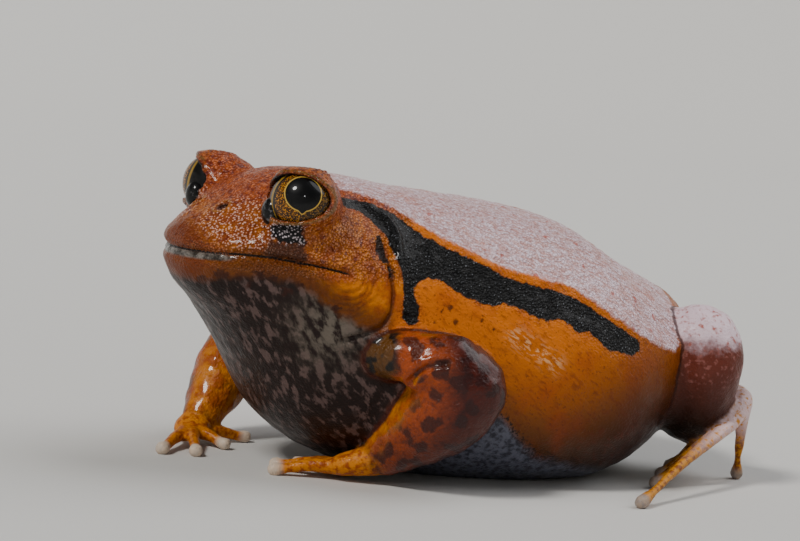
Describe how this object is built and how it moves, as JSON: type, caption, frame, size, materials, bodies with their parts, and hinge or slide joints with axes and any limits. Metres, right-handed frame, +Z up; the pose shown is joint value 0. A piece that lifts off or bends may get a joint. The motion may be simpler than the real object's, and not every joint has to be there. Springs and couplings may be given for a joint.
{
  "type": "tomato frog",
  "caption": "Sitting tomato frog at life size, resting on its belly with bent arms and folded hind legs, as a still display model.",
  "frame": {"origin": "on the floor under the middle of the frog's bounding box", "axes": "+X to the frog's left, -Y out of its snout, +Z up"},
  "size_m": [0.081, 0.0992, 0.0483],
  "materials": {
    "body_skin": "wet orange skin with a black band along each flank and a pinkish red back",
    "head_skin": "wet, finely grained orange-brown skin, dark mottled throat",
    "arm_skin": "wet red-brown skin with dark blotches",
    "leg_skin": "wet brown-red skin, paler on the upper side",
    "eye": "wet black eye with a gold iris"
  },
  "bodies": {
    "root": {"head": "head_skin", "torso": "body_skin", "upper_arm_left": "arm_skin", "upper_arm_right": "arm_skin", "forearm_left": "arm_skin", "forearm_right": "arm_skin", "hand_left": "arm_skin", "hand_right": "arm_skin", "thigh_left": "leg_skin", "thigh_right": "leg_skin", "shank_left": "leg_skin", "shank_right": "leg_skin", "foot_left": "leg_skin", "foot_right": "leg_skin", "eye_left": "eye", "eye_right": "eye"}
  },
  "joints": []
}
